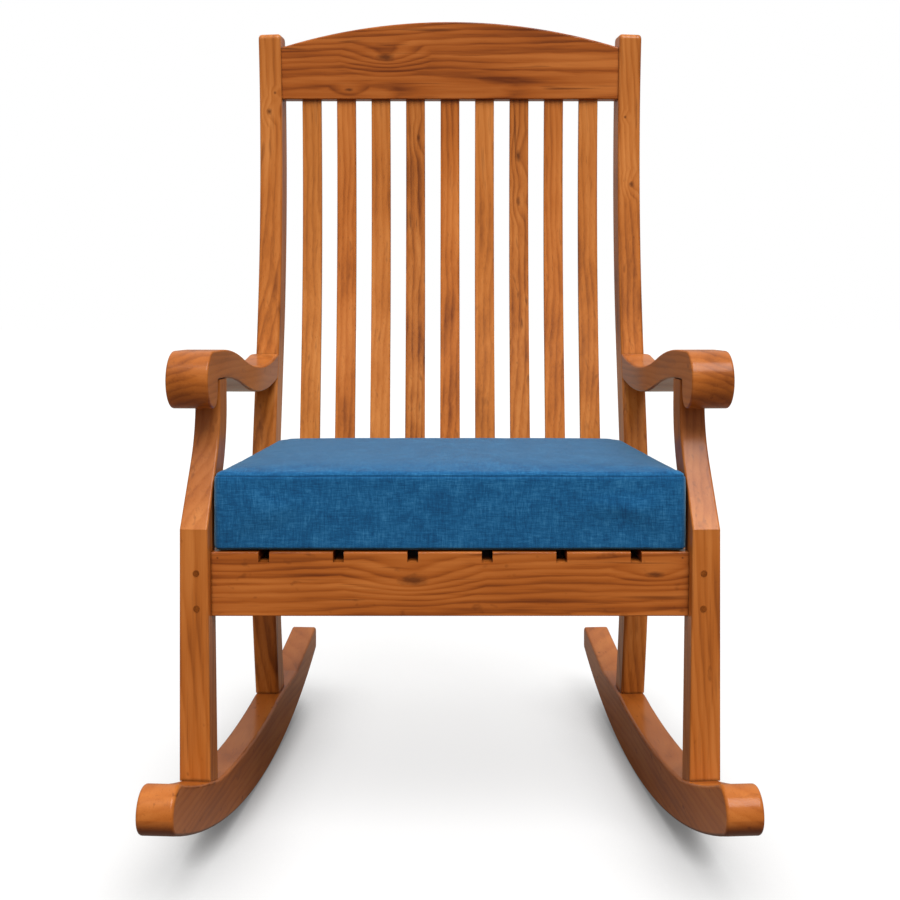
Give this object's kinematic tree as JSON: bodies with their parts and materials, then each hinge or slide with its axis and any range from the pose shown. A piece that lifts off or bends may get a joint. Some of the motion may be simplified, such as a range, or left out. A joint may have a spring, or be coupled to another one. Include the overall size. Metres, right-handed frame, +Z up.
{
  "type": "slat-back rocking chair",
  "caption": "Wooden rocking chair with an S-curved slat back, scrolled arms, curved runners and a loose box seat cushion.",
  "frame": {"origin": "middle of the footprint on the floor, with the chair standing level", "axes": "+Z up; the chair faces -Y; +X is the right of a person who looks at the chair's front"},
  "size_m": [0.697, 0.9102, 1.1458],
  "materials": {
    "teak": "satin oiled hardwood with dark grain",
    "peg_wood": "end grain dowel, oiled",
    "screw_steel": "satin",
    "cushion_cloth": "linen weave, matt",
    "cushion_filling": "foam block, matt"
  },
  "bodies": {
    "chair": {"left_rocker": "teak", "right_rocker": "teak", "left_front_post": "teak", "right_front_post": "teak", "left_back_post": "teak", "right_back_post": "teak", "left_arm": "teak", "right_arm": "teak", "left_side_rail": "teak", "right_side_rail": "teak", "seat_front_rail": "teak", "seat_front_cleat": "teak", "seat_rear_rail": "teak", "crest_rail": "teak", "lower_back_rail": "teak", "back_slat_1": "teak", "back_slat_2": "teak", "back_slat_3": "teak", "back_slat_4": "teak", "back_slat_5": "teak", "back_slat_6": "teak", "back_slat_7": "teak", "back_slat_8": "teak", "back_slat_9": "teak", "seat_slat_1": "teak", "seat_slat_2": "teak", "seat_slat_3": "teak", "seat_slat_4": "teak", "seat_slat_5": "teak", "seat_slat_6": "teak", "seat_slat_7": "teak", "front_rail_pegs": "peg_wood", "seat_slat_screws": "screw_steel"},
    "cushion": {"cushion_cover": "cushion_cloth", "cushion_foam": "cushion_filling"}
  },
  "joints": [
    {"name": "cushion_lift", "type": "slide", "parent": "chair", "child": "cushion", "axis": [0, 0, 1], "range_m": [0, 0.26]}
  ]
}
